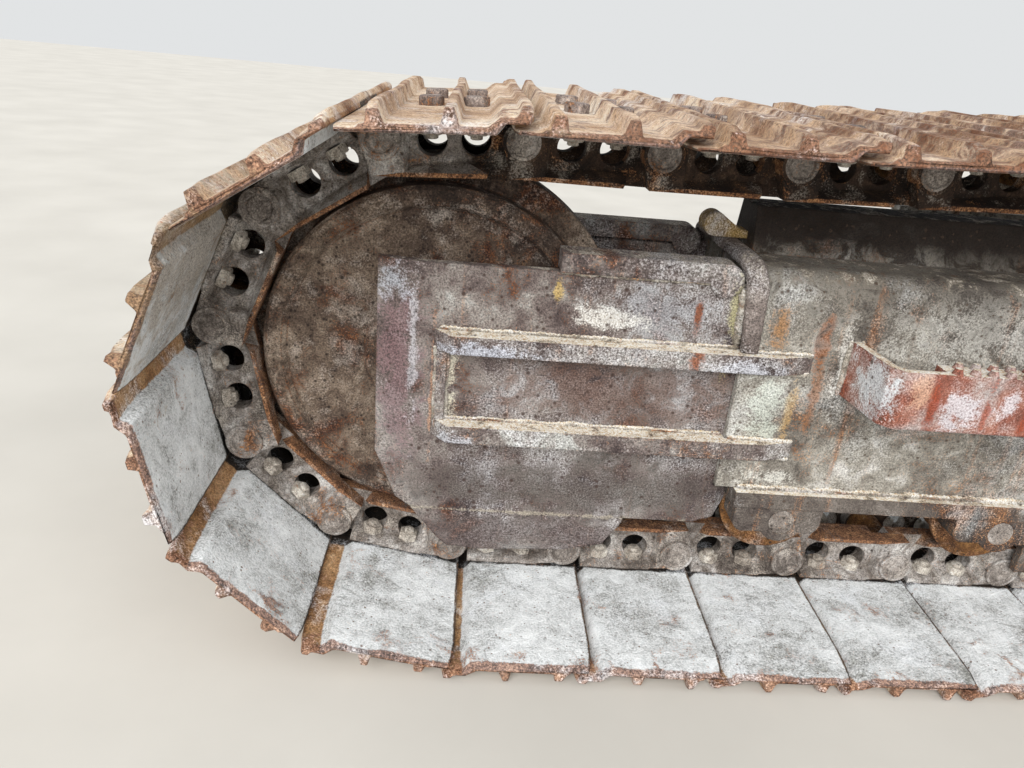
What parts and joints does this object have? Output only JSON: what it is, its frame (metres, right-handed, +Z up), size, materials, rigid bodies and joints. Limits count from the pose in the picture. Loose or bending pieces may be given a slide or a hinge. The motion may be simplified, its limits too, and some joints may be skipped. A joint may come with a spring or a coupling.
{
  "type": "crawler track unit",
  "caption": "Left track unit of a crawler machine: box side frame, guarded idler, rollers, sprocket drive and a chain of grouser shoes.",
  "frame": {"origin": "centre of the bolted face that joins the unit to the machine's body", "axes": "+X along the unit to the sprocket end, +Y out of the bolted face towards the machine's middle, +Z up"},
  "size_m": [3.5622, 0.73, 0.7345],
  "materials": {
    "frame_steel": "worn grey paint with lime and rust streaks",
    "bar_steel": "worn dark paint and rust",
    "lug_steel": "ochre rust over old paint",
    "guard_steel": "purple brown rust with lime patches",
    "rib_steel": "pale lime over rust",
    "idler_iron": "dark speckled rust",
    "block_iron": "dark rust",
    "pin_steel": "worn dull steel",
    "roller_iron": "orange brown rust",
    "drive_iron": "worn grey paint",
    "motor_iron": "dark paint",
    "link_steel": "worn grey brown steel",
    "shoe_steel": "worn pale steel with rust spots",
    "step_paint": "red rust with grey patches"
  },
  "bodies": {
    "unit": {"side_frame": "frame_steel", "roller_bars": "bar_steel", "frame_mouth": "frame_steel", "frame_lug": "lug_steel", "guard_outboard": "guard_steel", "guard_inboard": "guard_steel", "guard_ribs": "rib_steel", "idler_axle": "pin_steel", "axle_blocks": "block_iron", "guide_bars": "bar_steel", "idler_yoke": "block_iron", "track_rollers": "roller_iron", "roller_shafts": "pin_steel", "roller_collars": "bar_steel", "carrier_roller": "roller_iron", "carrier_bracket": "bar_steel", "sprocket": "roller_iron", "final_drive": "drive_iron", "drive_cover": "drive_iron", "drive_bracket": "frame_steel", "travel_motor": "motor_iron", "motor_guard": "frame_steel", "track_pins": "pin_steel", "track_bushings": "roller_iron", "track_links_outboard": "link_steel", "track_links_inboard": "link_steel", "track_shoes": "shoe_steel", "chain_guides": "bar_steel", "step": "step_paint", "access_cover": "frame_steel", "body_legs": "frame_steel", "body_joint": "frame_steel"},
    "idler": {"idler": "idler_iron"}
  },
  "joints": [
    {"name": "idler_turn", "type": "hinge", "parent": "unit", "child": "idler", "pos_m": [-1.43528, -0.43, -0.02916], "axis": [0, 1, 0], "continuous": true}
  ]
}
